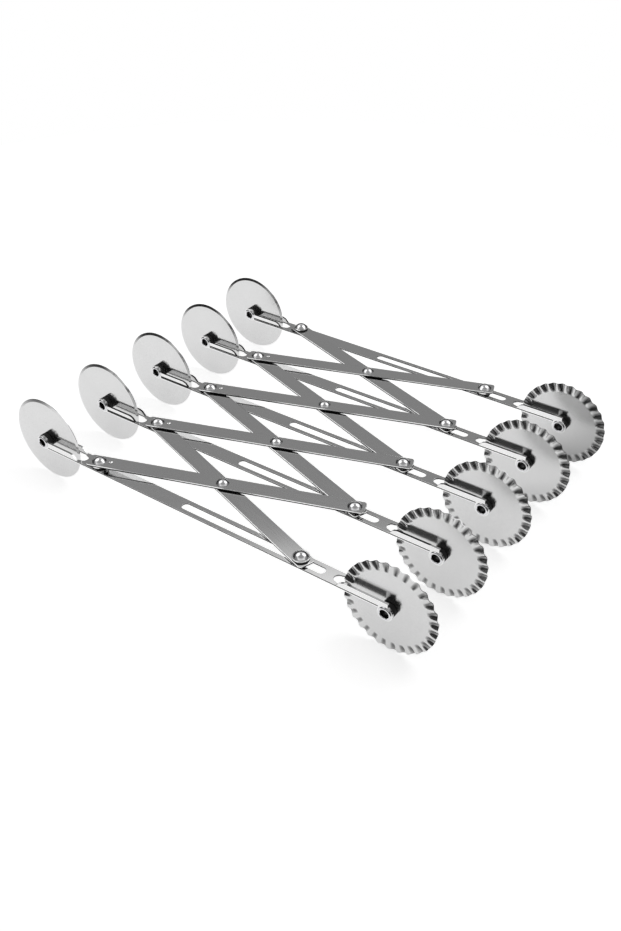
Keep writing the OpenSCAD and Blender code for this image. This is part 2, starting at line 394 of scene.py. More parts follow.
@dataclass(frozen=True)
class BrightSteel(Finish):
    """Small turned or headed steel with a fine even grain."""

    grain: float = 2400.0
    wear: float = 500.0
    octaves: float = 2.0

    def paint(self, board: Board) -> tuple[Socket, Signal, Signal]:
        """Fine grain with coarser wear.

        Args:
            board: The material's nodes.

        Returns:
            The colour, where it is rough, and its relief.
        """
        place = board.node("TexCoord").outputs["Object"]
        grain = board.noise(place, self.grain, self.octaves)
        wear = board.noise(place, self.wear, self.octaves)
        return self.tint(board, wear), wear, grain


@dataclass(frozen=True)
class BlackNylon(BrightSteel):
    """Moulded black nylon with a fine matt texture, grained like the steel."""

    tone_span: Span = (0.7, 1.5)
    rough_base: float = 0.85
    rough_swing: float = 0.3
    relief: float = 0.00001
    relief_share: float = 0.5
    metallic: float = 0.0
    specular: float = 0.45
    grain: float = 3800.0
    wear: float = 3800.0
    octaves: float = 3.0


# ---- Studio ----


def placed(name: str, data: bpy.types.ID) -> bpy.types.Object:
    """Object for some data, linked to the scene.

    Args:
        name: The object's name.
        data: Its mesh, lamp or camera data.

    Returns:
        The object.
    """
    made = bpy.data.objects.new(name, data)
    bpy.context.scene.collection.objects.link(made)
    return made


def bearing(azimuth: float, elevation: float) -> Vector:
    """Unit vector towards a direction.

    Args:
        azimuth: Angle from +X round the upright, in degrees.
        elevation: Angle above the floor, in degrees.

    Returns:
        The vector.
    """
    turn, lift = math.radians(azimuth), math.radians(elevation)
    level = math.cos(lift)
    return Vector((math.cos(turn) * level, math.sin(turn) * level, math.sin(lift)))


@dataclass
class Studio:
    """Camera at the photograph's view, pale floor and soft light.

    Metal mirrors the floor as a bright sheet of limited size in painted shade
    that only mirrors see: a box that is shaded beyond a slanting line and cut
    off at its near left corner.
    """

    azimuth: float = -53.889
    elevation: float = 34.4516
    roll: float = 0.2404
    distance: float = 606.87
    aim: tuple[float, float, float] = (-5.771, 0.0, 29.685)
    sensor: float = 36.0
    lens: float = 59.872
    shift: Span = (0.015237, -0.069929)
    floor_radius: float = 640.0
    floor_steps: int = 96
    floor_tone: float = 0.86
    floor_glow: float = 0.58
    dark_tone: float = 0.04
    sheet_x: Span = (-212.0, 150.0)
    sheet_y: Span = (-420.0, 330.0)
    sheet_fade: float = 42.0
    slant_angle: float = 33.0
    slant_reach: float = 112.0
    slant_shade: float = 0.55
    corner: Span = (-100.0, -198.0)
    corner_shade: float = 0.92
    sky: Points = (
        (0.0, 0.04), (0.66, 0.04), (0.72, 0.26), (0.812, 0.26), (0.834, 1.0),
        (0.87, 0.75), (0.90, 0.5), (0.935, 0.32), (1.0, 0.32),
    )
    lamp_span: float = 820.0
    lamp_reach: float = 1100.0
    lamp_watts: float = 1.75
    lamp_elevation: float = 57.0
    lamp_azimuths: Span = (192.0, 60.0)

    def place_camera(self) -> None:
        """Make the camera and the scene's view settings."""
        data = bpy.data.cameras.new("camera")
        data.sensor_fit = "HORIZONTAL"
        data.sensor_width = self.sensor
        data.lens = self.lens
        data.shift_x, data.shift_y = self.shift
        camera = placed("camera", data)
        back = bearing(self.azimuth, self.elevation)
        right = Z_AXIS.cross(back).normalized()
        axes = Matrix((right, back.cross(right), back)).transposed().to_4x4()
        axes @= Matrix.Rotation(math.radians(self.roll), 4, "Z")
        spot = (Vector(self.aim) + back * self.distance) * MM
        camera.matrix_world = Matrix.Translation(spot) @ axes
        bpy.context.scene.camera = camera
        bpy.context.scene.view_settings.view_transform = "Standard"

    def light_world(self) -> None:
        """World that metal mirrors: a dim horizon with soft light above it."""
        world = bpy.data.worlds.new("studio")
        bpy.context.scene.world = world
        board = Board(world)
        direction = board.node("TexCoord").outputs["Generated"]
        height = board.node("SeparateXYZ", {}, {0: direction}).outputs["Z"]
        rise = Signal(board, height) * 0.5 + 0.5
        ramp = board.node("ValToRGB", {}, {"Fac": rise})
        stops = ramp.color_ramp.elements
        while len(stops) < len(self.sky):
            stops.new(1.0)
        for stop, (place, level) in zip(stops, self.sky):
            stop.position, stop.color = place, grey(level)
        felt = board.node("Background", {}, {"Color": ramp.outputs[0]}).outputs[0]
        seen = board.node("Background", {}, {"Color": grey(1.0)}).outputs[0]
        camera_ray = board.node("LightPath").outputs["Is Camera Ray"]
        mix = board.node("MixShader", {}, {0: camera_ray, 1: felt, 2: seen})
        board.node("OutputWorld", {}, {"Surface": mix.outputs[0]})

    def lay_floor(self) -> None:
        """Pale floor that keeps the cutter's shadow."""
        shape = bmesh.new()
        bmesh.ops.create_circle(
            shape, cap_ends=True, segments=self.floor_steps, radius=self.floor_radius * MM
        )
        data = bpy.data.meshes.new("floor")
        shape.to_mesh(data)
        shape.free()
        data.materials.append(self._floor_material())
        placed("floor", data)

    def _floor_material(self) -> bpy.types.Material:
        """Matt white for the camera, and in mirrors a bright sheet on painted dark ground.

        Returns:
            The material.
        """
        material = bpy.data.materials.new("pale_floor")
        board = Board(material)
        matt = board.node("BsdfDiffuse", {}, {"Color": grey(self.floor_tone)}).outputs[0]
        shine = {"Color": grey(1.0), "Strength": self.floor_glow}
        glow = board.node("Emission", {}, shine).outputs[0]
        both = board.node("AddShader", {}, {0: matt, 1: glow}).outputs[0]
        paths = board.node("LightPath").outputs
        mirrored = Signal(board, paths["Is Glossy Ray"])
        shows = Signal(board, paths["Is Camera Ray"]) + mirrored
        lit = board.node("MixShader", {}, {0: shows, 1: matt, 2: both}).outputs[0]
        dark = board.node("BsdfDiffuse", {}, {"Color": grey(self.dark_tone)}).outputs[0]
        # Painted reflection: glossy rays see the floor dark past the sheet, the camera sees it
        # plain
        share = self._past_sheet(board) * mirrored
        mix = board.node("MixShader", {}, {0: share, 1: lit, 2: dark})
        board.node("OutputMaterial", {}, {"Surface": mix.outputs[0]})
        return material

    def _past_sheet(self, board: Board) -> Signal:
        """How far a spot of the floor lies past the bright sheet.

        Args:
            board: The floor's nodes.

        Returns:
            A share from 0 on the sheet to 1 past its soft edge.
        """
        place = board.node("TexCoord").outputs["Object"]
        axes = board.node("SeparateXYZ", {}, {0: place}).outputs
        x, y = (Signal(board, axes[name]) for name in "XY")
        fade = 1.0 / (self.sheet_fade * MM)
        spans = [
            board.maths("ABSOLUTE", spot - (low + high) / 2 * MM, 0.0) - (high - low) / 2 * MM
            for spot, (low, high) in ((x, self.sheet_x), (y, self.sheet_y))
        ]
        beyond = (board.maths("MAXIMUM", *spans) * fade).clamped()
        turn = math.radians(self.slant_angle)
        across = x * math.cos(turn) + y * math.sin(turn)
        shaded = self.slant_shade * ((across - self.slant_reach * MM) * fade).clamped()
        side, near = self.corner
        inward = board.maths("MINIMUM", x - side * MM, near * MM - y)
        cut = self.corner_shade * (inward * fade).clamped()
        return board.maths("MAXIMUM", board.maths("MAXIMUM", beyond, shaded), cut)

    def hang_lamp(self, name: str, azimuth: float) -> None:
        """Hang one soft lamp that faces the cutter.

        Args:
            name: The lamp's name.
            azimuth: Direction from the cutter, in degrees from +X.
        """
        data = bpy.data.lights.new(name, "AREA")
        data.shape = "DISK"
        data.size = self.lamp_span * MM
        data.energy = self.lamp_watts
        away = bearing(azimuth, self.lamp_elevation)
        axes = away.to_track_quat("Z", "Y").to_matrix().to_4x4()
        spot = Matrix.Translation(away * self.lamp_reach * MM)
        placed(name, data).matrix_world = spot @ axes

    def set_up(self) -> None:
        """Light the studio and lay its floor."""
        self.light_world()
        self.lay_floor()
        for name, azimuth in zip(("left_lamp", "right_lamp"), self.lamp_azimuths):
            self.hang_lamp(name, azimuth)


# ---- Places ----


@dataclass
class Lattice:
    """Places of the pivots and axles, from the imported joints."""

    joints: dict[str, dict]
    bars: int = 5
    link_pitch: float = 148.0
    driver: str = "fold"

    @property
    def middle(self) -> int:
        """Number of the bar that holds still."""
        return (self.bars + 1) // 2

    @property
    def pitch(self) -> float:
        """Spacing of the bars at rest, in millimetres."""
        first, second = (self.joints[f"plain_spin_{i}"]["pos_m"][1] for i in (1, 2))
        return (second - first) / MM

    @property
    def rest_angle(self) -> float:
        """Angle between a link and the bars at rest, in radians."""
        return math.asin(self.pitch / self.link_pitch)

    @property
    def run(self) -> float:
        """Distance from the left pivots to the sliding pins at rest."""
        return self.link_pitch * math.cos(self.rest_angle)

    def axes(self, spot: Sequence[float]) -> Matrix:
        """Millimetre axes at a point: x along the bars, z up through the layers.

        Args:
            spot: The point, in metres.

        Returns:
            The matrix from these axes to the frame.
        """
        up = Vector(self.joints[self.driver]["axis"])
        across = Vector((0.0, 1.0, 0.0))
        turned = Matrix((across.cross(up), across, up)).transposed().to_4x4()
        return Matrix.Translation(Vector(spot)) @ turned @ Matrix.Scale(MM, 4)

    def left(self, bar: int) -> Matrix:
        """Axes at a bar's left pivot, on the underside of its strip."""
        base = self.axes(self.joints[self.driver]["pos_m"])
        return base @ Matrix.Translation((0.0, (bar - self.middle) * self.pitch, 0.0))

    def right(self, bar: int) -> Matrix:
        """Axes at a bar's sliding pin."""
        return self.left(bar) @ Matrix.Translation((self.run, 0.0, 0.0))

    def centre(self, link: int) -> Matrix:
        """Axes where a pair of links cross."""
        return self.left(link) @ Matrix.Translation((self.run / 2, self.pitch / 2, 0.0))

    def axle(self, side: Side, bar: int) -> Matrix:
        """Axes on a wheel's axle, z along it towards the first bar."""
        spot = self.joints[f"{side.value}_spin_{bar}"]["pos_m"]
        return self.axes(spot) @ Matrix.Rotation(math.pi / 2, 4, "X")

    def axle_reach(self, side: Side) -> float:
        """Distance of a side's axles from the left pivots, along the bars."""
        return (self.left(1).inverted() @ self.axle(side, 1)).translation.x

    def turned_axle(self, side: Side) -> tuple[float, float, float]:
        """Point on the middle wheel's axle, in metres."""
        return tuple(self.joints[f"{side.value}_spin_{self.middle}"]["pos_m"])


# ---- Making ----


@dataclass(frozen=True)
class Zone:
    """Faces of a shape, chosen by their middles and by the way that they look.

    Each field is a span that holds: the middle's x, its distance from the xz
    plane, its height, its distance from the z axis, the normal's z, and how far
    the normal leans along y.
    """

    x: Span = (-INF, INF)
    width: Span = (-INF, INF)
    height: Span = (-INF, INF)
    radius: Span = (-INF, INF)
    rise: Span = (-INF, INF)
    lean: Span = (-INF, INF)

    def holds(self, face: Face) -> bool:
        """Whether a face lies inside every span.

        Args:
            face: The face.

        Returns:
            True if it does.
        """
        spot, normal = face.calc_center_median(), face.normal
        tests = (
            (spot.x, self.x), (abs(spot.y), self.width), (spot.z, self.height),
            (spot.xy.length, self.radius), (normal.z, self.rise), (abs(normal.y), self.lean),
        )
        return all(low < value < high for value, (low, high) in tests)


def spun(profile: Points, closed: bool, steps: int = 48) -> Mesh:
    """Turn a profile round the z axis.

    Args:
        profile: Points as (radius, height).
        closed: Whether the profile is a loop, as for a ring.
        steps: Steps of the full turn.

    Returns:
        The turned shape.
    """
    shape = bmesh.new()
    points = [shape.verts.new((radius, 0.0, height)) for radius, height in profile]
    pairs = list(zip(points, points[1:])) + ([(points[-1], points[0])] if closed else [])
    edges = [shape.edges.new(pair) for pair in pairs]
    bmesh.ops.spin(
        shape, geom=points + edges, cent=(0, 0, 0), axis=(0, 0, 1), dvec=(0, 0, 0),
        angle=2 * math.pi, steps=steps, use_merge=True, use_duplicate=False,
    )
    bmesh.ops.remove_doubles(shape, verts=shape.verts[:], dist=WELD)
    bmesh.ops.recalc_face_normals(shape, faces=shape.faces[:])
    return shape


def soften(shape: Mesh, edges: Iterable[Edge], width: float, segments: int = 2) -> None:
    """Round edges, and keep the flats beside them flat.

    Args:
        shape: The shape.
        edges: Its edges to round.
        width: Width of the rounding.
        segments: Faces across the rounding.
    """
    made = bmesh.ops.bevel(
        shape, geom=list(edges), offset=width, offset_type="OFFSET", segments=segments,
        profile=0.5, affect="EDGES", material=-1, clamp_overlap=True,
    )
    rounded = set(made["faces"])
    for edge in {edge for face in rounded for edge in face.edges}:
        if any(face not in rounded for face in edge.link_faces):
            edge.smooth = False


def keep_flat(shape: Mesh) -> None:
    """Mark the borders of the faces that look along z, so that they shade flat.

    Args:
        shape: The shape.
    """
    for edge in shape.edges:
        if len({abs(face.normal.z) > LEVEL for face in edge.link_faces}) > 1:
            edge.smooth = False


def rims(shape: Mesh, limit: float = 40.0) -> list[Edge]:
    """Sharp edges of a shape.

    Args:
        shape: The shape.
        limit: The angle from which an edge is sharp, in degrees.

    Returns:
        The edges.
    """
    return [
        edge
        for edge in shape.edges
        if len(edge.link_faces) == 2 and edge.calc_face_angle(0.0) > math.radians(limit)
    ]


def copy_of(node: str, into: Matrix) -> Mesh:
    """Merged copy of a CAD node, with its flat faces whole again.

    Args:
        node: The node's name.
        into: The axes, in millimetres, that the copy is given in.

    Returns:
        The copy.
    """
    data = frame["nodes"][node].data.copy()
    for name in ("custom_normal", "sharp_edge"):
        if name in data.attributes:
            data.attributes.remove(data.attributes[name])
    shape = bmesh.new()
    shape.from_mesh(data)
    bpy.data.meshes.remove(data)
    bmesh.ops.transform(shape, matrix=into.inverted(), verts=shape.verts[:])
    bmesh.ops.remove_doubles(shape, verts=shape.verts[:], dist=CAD_WELD)
    bmesh.ops.dissolve_limit(
        shape, angle_limit=math.radians(CAD_FLAT), verts=shape.verts[:], edges=shape.edges[:],
        use_dissolve_boundaries=False,
    )
    return shape


def cut_across(shape: Mesh, axis: Vector, places: Iterable[float]) -> None:
    """Split faces by planes across an axis, and keep both sides.

    Args:
        shape: The shape.
        axis: The direction that the planes face.
        places: Their distances from the origin along it.
    """
    for place in places:
        bmesh.ops.bisect_plane(
            shape, geom=shape.verts[:] + shape.edges[:] + shape.faces[:],
            dist=PLANE_GAP, plane_co=axis * place, plane_no=axis,
        )


def give_coat(shape: Mesh, coat: Coat, zone: Zone) -> None:
    """Give a zone's faces a finish.

    Args:
        shape: The shape.
        coat: The finish's place in the piece's list.
        zone: The faces that get it.
    """
    for face in filter(zone.holds, shape.faces):
        face.material_index = coat


def moved(shape: Mesh, by: Matrix) -> Mesh:
    """Move or mirror a shape.

    Args:
        shape: The shape.
        by: The matrix to move it by.

    Returns:
        The same shape.
    """
    bmesh.ops.transform(shape, matrix=by, verts=shape.verts[:])
    if by.determinant() < 0:
        bmesh.ops.reverse_faces(shape, faces=shape.faces[:])
    return shape


def joined(shapes: Sequence[Mesh]) -> Mesh:
    """One shape from several.

    Args:
        shapes: The shapes. They are used up.

    Returns:
        The whole.
    """
    whole = bmesh.new()
    for shape in shapes:
        spare = bpy.data.meshes.new("spare")
        shape.to_mesh(spare)
        shape.free()
        whole.from_mesh(spare)
        bpy.data.meshes.remove(spare)
    return whole


def make_piece(
    shape: Mesh, name: str, place: Matrix, body: str, finishes: Sequence[Finish],
    node: str,
) -> None:
    """Turn a shape into a piece that rides on its body.

    Args:
        shape: The shape, in millimetres in its own axes. It is used up.
        name: The piece's name.
        place: The axes that it was made in.
        body: The CAD body that it rides on.
        finishes: Its finishes, in the order of its coats.
        node: The CAD node that it stands for.
    """
    for face in shape.faces:
        face.smooth = True
    for edge in rims(shape, SHADE_LIMIT):
        edge.smooth = False
    bmesh.ops.transform(shape, matrix=place, verts=shape.verts[:])
    data = bpy.data.meshes.new(name)
    shape.to_mesh(data)
    shape.free()
    for finish in finishes:
        data.materials.append(finish.material())
    piece = placed(name, data)
    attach(piece, body)
    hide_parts(node)
    LOG.info("%s on %s: %d faces", name, body, len(data.polygons))


def underside(points: Points) -> list[tuple[float, float]]:
    """Mirror image of a profile below z = 0, in reverse order."""
    return [(radius, -height) for radius, height in reversed(points)]


# ---- Sub-assemblies ----


@dataclass
class Strips:
    """Flat strips: the wheel bars and the two layers of links.

    The bands are heights from a strip's underside.
    """

    lattice: Lattice
    edge_round: float = 0.18
    fold_round: float = 0.7
    fold_steps: int = 4
    fold_slack: float = 0.01
    strip: float = 1.2
    gap: float = 0.4
    bar_width: float = 9.6
    link_band: Span = (0.0, 0.70)
    bar_band: Span = (0.5, 1.12)
    plain_arm_shade_band: Span = (0.5, 2.2)
    lightly_shaded_bar: int = 1
    plain_root: float = -12.0
    eye_clearance: float = 3.8
    arm_lift: float = 0.02
    inner_skin: float = 0.05
    outer_skin: float = 0.3
    side_rise: Span = (-0.97, 0.7)
    top_rise: Span = (0.3, INF)
    upright: Span = (0.7, INF)
    bar_finish: PolishedStrip = PolishedStrip("polished_bar", 0.10, 0.82)
    # Near black: the rough torn band with painted shade, and the painted shade on the arms
    torn_edge_and_shade: BrightSteel = BrightSteel("torn_edge_and_painted_shade", 0.40, 0.02)
    blanked: BrightSteel = BrightSteel("blanked_edge", 0.30, 0.98)
    inside: BrightSteel = BrightSteel("arm_inside_painted_shade", 0.34, 0.12)

    def dress(self, shape: Mesh, base: float, band: Span) -> None:
        """Give a strip's side faces a satin edge with a dark torn band: a rough torn edge,
        painted near black as shade.

        Args:
            shape: The strip.
            base: Height of its underside.
            band: Limits of the torn band.
        """
        torn = (base + band[0], base + band[1])
        cut_across(shape, Z_AXIS, torn)
        sides = Zone(height=(base, base + self.strip), rise=self.side_rise)
        give_coat(shape, Coat.SIDE, sides)
        give_coat(shape, Coat.DARK, Zone(height=torn, rise=self.side_rise))
        keep_flat(shape)

    def wheel_bar(self, bar: int) -> None:
        """Make a wheel bar with its forks.

        Args:
            bar: The bar's number.
        """
        node, place = f"wheel_bar_{bar}", self.lattice.left(bar)
        half, slack = self.bar_width / 2, self.fold_slack
        shape = copy_of(node, place)
        # The outer bottom edges of the strip and of its arms are folds
        folds = [
            edge
            for edge in rims(shape)
            if all(abs(abs(v.co.y) - half) < slack and abs(v.co.z) < slack for v in edge.verts)
        ]
        soften(shape, folds, self.fold_round, self.fold_steps)
        soften(shape, rims(shape), self.edge_round)
        first = self.lattice.axle_reach(Side.PLAIN) + self.eye_clearance
        last = self.lattice.axle_reach(Side.FLUTED) - self.eye_clearance
        above = (self.strip + self.arm_lift, INF)
        cut_across(shape, X_AXIS, (first, last))
        cut_across(shape, Z_AXIS, (0.0, above[0], *self.plain_arm_shade_band))
        self.dress(shape, 0.0, self.bar_band)
        # Painted shade: the arms' top edges darken on every bar but the first
        shaded_tops = Zone(x=(first, last), height=above, rise=self.top_rise)
        # Painted shade: the arms' inner faces on the fluted side are near black
        inner = (-INF, half - self.strip + self.inner_skin)
        shaded_insides = Zone(x=(self.lattice.run / 2, INF), width=inner, height=above)
        # Painted shade: a dark band low on the outer faces of the plain arms, on every bar but
        # the first
        plain_arm_shade = Zone(
            x=(first, self.plain_root), width=(half - self.outer_skin, INF),
            height=self.plain_arm_shade_band, rise=(-INF, self.side_rise[1]),
        )
        zones = [(Coat.DARK, shaded_tops), (Coat.INSIDE, shaded_insides), (Coat.DARK, plain_arm_shade)]
        # The first bar keeps only the painted shade on its arms' inner faces
        if bar == self.lightly_shaded_bar:
            zones = [(Coat.INSIDE, shaded_insides)]
        for ends in ((-INF, first), (last, INF)):
            zones.append((Coat.MAIN, Zone(x=ends, lean=self.upright)))
        for coat, zone in zones:
            give_coat(shape, coat, zone)
        make_piece(
            shape, f"strip_bar_{bar}", place, f"bar_{bar}",
            [self.bar_finish, self.torn_edge_and_shade, self.blanked, self.inside], node,
        )

    def link(self, layer: Layer, link: int) -> None:
        """Make a link with rounded edges.

        Args:
            layer: The layer that the link lies in.
            link: The link's number.
        """
        node, place = f"{layer.value}_link_{link}", self.lattice.left(link)
        shape = copy_of(node, place)
        soften(shape, rims(shape), self.edge_round)
        turn = self.lattice.rest_angle if layer is Layer.TOP else -self.lattice.rest_angle
        polish = PolishedStrip(f"polished_{layer.value}_link", 0.10, 0.80, turn=turn)
        step = self.strip + self.gap
        self.dress(shape, step if layer is Layer.LOWER else 2 * step, self.link_band)
        make_piece(
            shape, f"strip_{layer.value}_{link}", place, f"{layer.value}_{link}",
            [polish, self.torn_edge_and_shade, self.blanked], node,
        )

    def build(self) -> None:
        """Make every wheel bar and link."""
        for bar in range(1, self.lattice.bars + 1):
            self.wheel_bar(bar)
        for layer in Layer:
            for link in range(1, self.lattice.bars):
                self.link(layer, link)


@dataclass
class CuttingWheels:
    """Plain discs with a ground bevel and fluted discs with a waved rim."""

    lattice: Lattice
    bore: float = 6.1
    bore_break: float = 0.12
    thickness: float = 1.0
    plain_diameter: float = 51.0
    plain_steps: int = 128
    bevel: float = 1.6
    edge: float = 0.3
    fluted_diameter: float = 52.4
    flutes: int = 28
    flute_length: float = 5.2
    flute_reach: float = 0.62
    flute_lead: float = 0.4
    flute_rings: int = 8
    steps_per_flute: int = 14
    rise_power: float = 2.4
    skin_edge: float = 0.2
    rim_break: float = 0.05
    valley_shade_power: float = 0.55
    valley_shade_peak: float = 0.4

    def polish(self, side: Side) -> TurnedDisc:
        """Turned finish of one kind of wheel.

        Args:
            side: The side that the wheels are on.

        Returns:
            The finish.
        """
        centre = self.lattice.turned_axle(side)
        if side is Side.PLAIN:
            return TurnedDisc("plain_disc", 0.13, 0.66, centre=centre)
        return TurnedDisc("fluted_disc", 0.18, 0.64, centre=centre, valley_shade=0.85)

    def plain(self, bar: int) -> None:
        """Make a plain wheel.

        Args:
            bar: Number of the bar that carries it.
        """
        radius, half, bore = self.plain_diameter / 2, self.thickness / 2, self.bore / 2
        face = [
            (bore, half - self.bore_break), (bore + self.bore_break, half),
            (radius - self.bevel, half), (radius, self.edge / 2),
        ]
        shape = spun(face + underside(face), closed=True, steps=self.plain_steps)
        keep_flat(shape)
        make_piece(
            shape, f"plain_disc_{bar}", self.lattice.axle(Side.PLAIN, bar), f"plain_{bar}",
            [self.polish(Side.PLAIN)], f"plain_wheel_{bar}",
        )

    def fluted(self, bar: int) -> None:
        """Make a fluted wheel.

        Args:
            bar: Number of the bar that carries it.
        """
        radius, half, bore = self.fluted_diameter / 2, self.thickness / 2, self.bore / 2
        root = radius - self.flute_length
        finish = self.polish(Side.FLUTED)
        rings = range(1, self.flute_rings)
        rise = [root + self.flute_length * ring / self.flute_rings for ring in rings]
        face = [
            (bore, half - self.bore_break), (bore + self.bore_break, half),
            (root - self.flute_lead, half), (root, half),
            *((spread, self._skin(spread)) for spread in rise),
            (radius - self.rim_break, self.skin_edge),
        ]
        steps = self.flutes * self.steps_per_flute
        shape = spun(face + underside(face), closed=True, steps=steps)
        painted_valley_shade = shape.verts.layers.float.new(finish.valley_shade_layer)
        for vertex in shape.verts:
            spread = math.hypot(vertex.co.x, vertex.co.y)
            wave = math.cos(self.flutes * math.atan2(vertex.co.y, vertex.co.x))
            # Painted shade: the valley side of each flute on either face, strongest part way
            # along the flute
            depth = max(-wave if vertex.co.z > 0 else wave, 0.0)
            vertex[painted_valley_shade] = depth ** self.valley_shade_power * self._valley_shade_at(spread)
            vertex.co.z += self.flute_reach * self._rise(spread) * wave
        bmesh.ops.recalc_face_normals(shape, faces=shape.faces[:])
        make_piece(
            shape, f"fluted_disc_{bar}", self.lattice.axle(Side.FLUTED, bar), f"fluted_{bar}",
            [finish], f"fluted_wheel_{bar}",
        )

    def _share(self, spread: float) -> float:
        """How far along the flutes a distance from the axle lies, from 0 to 1."""
        root = self.fluted_diameter / 2 - self.flute_length
        return min(max((spread - root) / self.flute_length, 0.0), 1.0)

    def _skin(self, spread: float) -> float:
        """Half thickness of the fluted rim at a distance from the axle."""
        return self.thickness / 2 - (self.thickness / 2 - self.skin_edge) * self._share(spread)

    def _rise(self, spread: float) -> float:
        """Share of the full wave at a distance from the axle."""
        return 1.0 - (1.0 - self._share(spread)) ** self.rise_power

    def _valley_shade_at(self, spread: float) -> float:
        """Strength of the painted valley shade at a distance from the axle, from 0 to 1."""
        part = self._share(spread) / self.valley_shade_peak
        return part * math.exp(1.0 - part)

    def build(self) -> None:
        """Make the two wheels of every bar."""
        for bar in range(1, self.lattice.bars + 1):
            self.plain(bar)
            self.fluted(bar)


@dataclass
class Hubs:
    """Hollow axles and nylon bushes in the forks.

    The rolls, noses and heels are points, as steps back from a corner.
    """

    lattice: Lattice
    fork_width: float = 9.6
    arm: float = 1.2
    wheel: float = 1.0
    wheel_gap: float = 0.1
    axle_diameter: float = 6.0
    mouth_diameter: float = 4.8
    mouth_depth: float = 3.4
    mouth_skin: float = 0.01
    mouth_rise: Span = (-0.5, 0.5)
    lip_diameter: float = 7.6
    lip: float = 0.7
    lip_tuck: float = 0.04
    inner_roll: Points = ((0.0, 0.5), (0.1, 0.25), (0.3, 0.07))
    outer_roll: Points = ((0.35, 0.08), (0.1, 0.28), (0.0, 0.5))
    bush_diameter: float = 8.4
    bush_play: float = 0.05
    bush_nose: Points = ((0.5, 0.0), (0.15, 0.15), (0.0, 0.5))
    bush_heel: Points = ((0.0, 0.35), (0.3, 0.0))
    steel: BrightSteel = BrightSteel("axle_steel", 0.18, 0.62)
    bore: BrightSteel = BrightSteel("axle_bore", 0.22, 0.10)
    nylon: BlackNylon = BlackNylon("black_nylon", 0.28, 0.012)

    def axle(self) -> Mesh:
        """A hollow axle with a lip rolled over each arm.

        Returns:
            The shape, with z along the axle.
        """
        outer, mouth, lip = self.axle_diameter / 2, self.mouth_diameter / 2, self.lip_diameter / 2
        seat, top = self.fork_width / 2, self.fork_width / 2 + self.lip
        end = [
            (0.0, top - self.mouth_depth), (mouth, top - self.mouth_depth),
            *((mouth + out, top - down) for out, down in self.inner_roll),
            ((mouth + lip) / 2, top),
            *((lip - back, top - down) for back, down in self.outer_roll),
            (lip - self.lip_tuck, seat), (outer, seat),
        ]
        shape = spun(end + underside(end), closed=False)
        # Painted shade: the walls of the axle's mouth are near black
        shaded_walls = Zone(radius=(-INF, mouth + self.mouth_skin), rise=self.mouth_rise)
        give_coat(shape, Coat.DARK, shaded_walls)
        return shape

    def bush(self) -> Mesh:
        """One nylon bush, between a wheel and an arm.

        Returns:
            The shape, with z along the axle.
        """
        bore, outer = self.axle_diameter / 2 + self.bush_play, self.bush_diameter / 2
        near = self.wheel / 2 + self.wheel_gap
        far = self.fork_width / 2 - self.arm
        profile = [
            (bore, near), *((outer - back, near + up) for back, up in self.bush_nose),
            *((outer - back, far - down) for back, down in self.bush_heel), (bore, far),
        ]
        return spun(profile, closed=True)

    def build(self) -> None:
        """Make the axles and bushes of every bar."""
        ways = (Matrix(), Matrix.Scale(-1, 4, Z_AXIS))
        for bar in range(1, self.lattice.bars + 1):
            home, body = self.lattice.left(bar), f"bar_{bar}"
            into = [home.inverted() @ self.lattice.axle(side, bar) for side in Side]
            axles = joined([moved(self.axle(), place) for place in into])
            make_piece(
                axles, f"hollow_axles_{bar}", home, body, [self.steel, self.bore],
                f"wheel_axles_{bar}",
            )
            bushes = joined(
                [moved(self.bush(), place @ way) for place in into for way in ways]
            )
            make_piece(
                bushes, f"nylon_bushes_{bar}", home, body, [self.nylon],
                f"hub_bushes_{bar}",
            )


@dataclass(frozen=True)
class Pivot:
    """What one kind of pivot is fastened with."""

    name: str
    shank: float
    rivet_node: str
    rings_node: str


